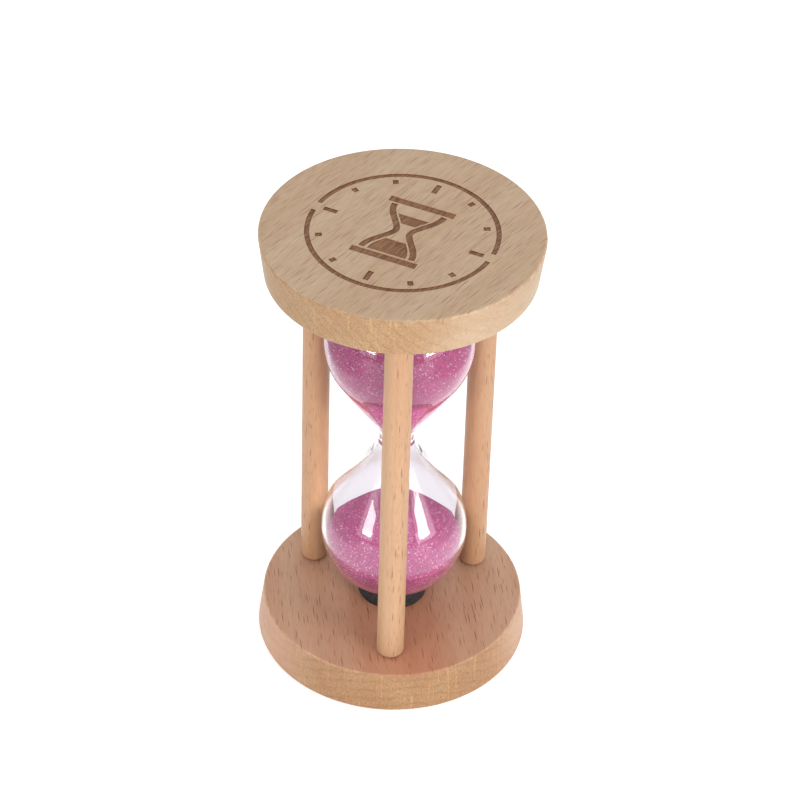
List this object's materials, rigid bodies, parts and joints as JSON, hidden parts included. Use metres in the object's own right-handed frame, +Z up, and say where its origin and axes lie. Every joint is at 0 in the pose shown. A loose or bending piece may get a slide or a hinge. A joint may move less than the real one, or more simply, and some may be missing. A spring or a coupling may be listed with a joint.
{
  "type": "hourglass",
  "caption": "Sand timer: a waisted glass vial part-filled with coloured sand, held upright between round wooden plates by turned dowel posts.",
  "frame": {"origin": "centre of the face that the timer stands on", "axes": "+Z up along the timer's axis; -Y is the front, where one post stands; +X to the right"},
  "size_m": [0.05, 0.05, 0.091],
  "materials": {
    "plate_wood": "sanded beech, thin matt oil",
    "post_wood": "sanded beech dowel",
    "vial_glass": "clear, polished",
    "plug_rubber": "matt",
    "pad_foam": "closed-cell foam, matt",
    "sand": "fine dyed sand with glitter"
  },
  "bodies": {
    "root": {"base_plate": "plate_wood", "top_plate": "plate_wood", "post_front": "post_wood", "post_rear_right": "post_wood", "post_rear_left": "post_wood", "glass_vial": "vial_glass", "fill_plug": "plug_rubber", "lower_pad": "pad_foam", "upper_pad": "pad_foam", "lower_sand": "sand", "upper_sand": "sand", "sand_stream": "sand"}
  },
  "joints": []
}
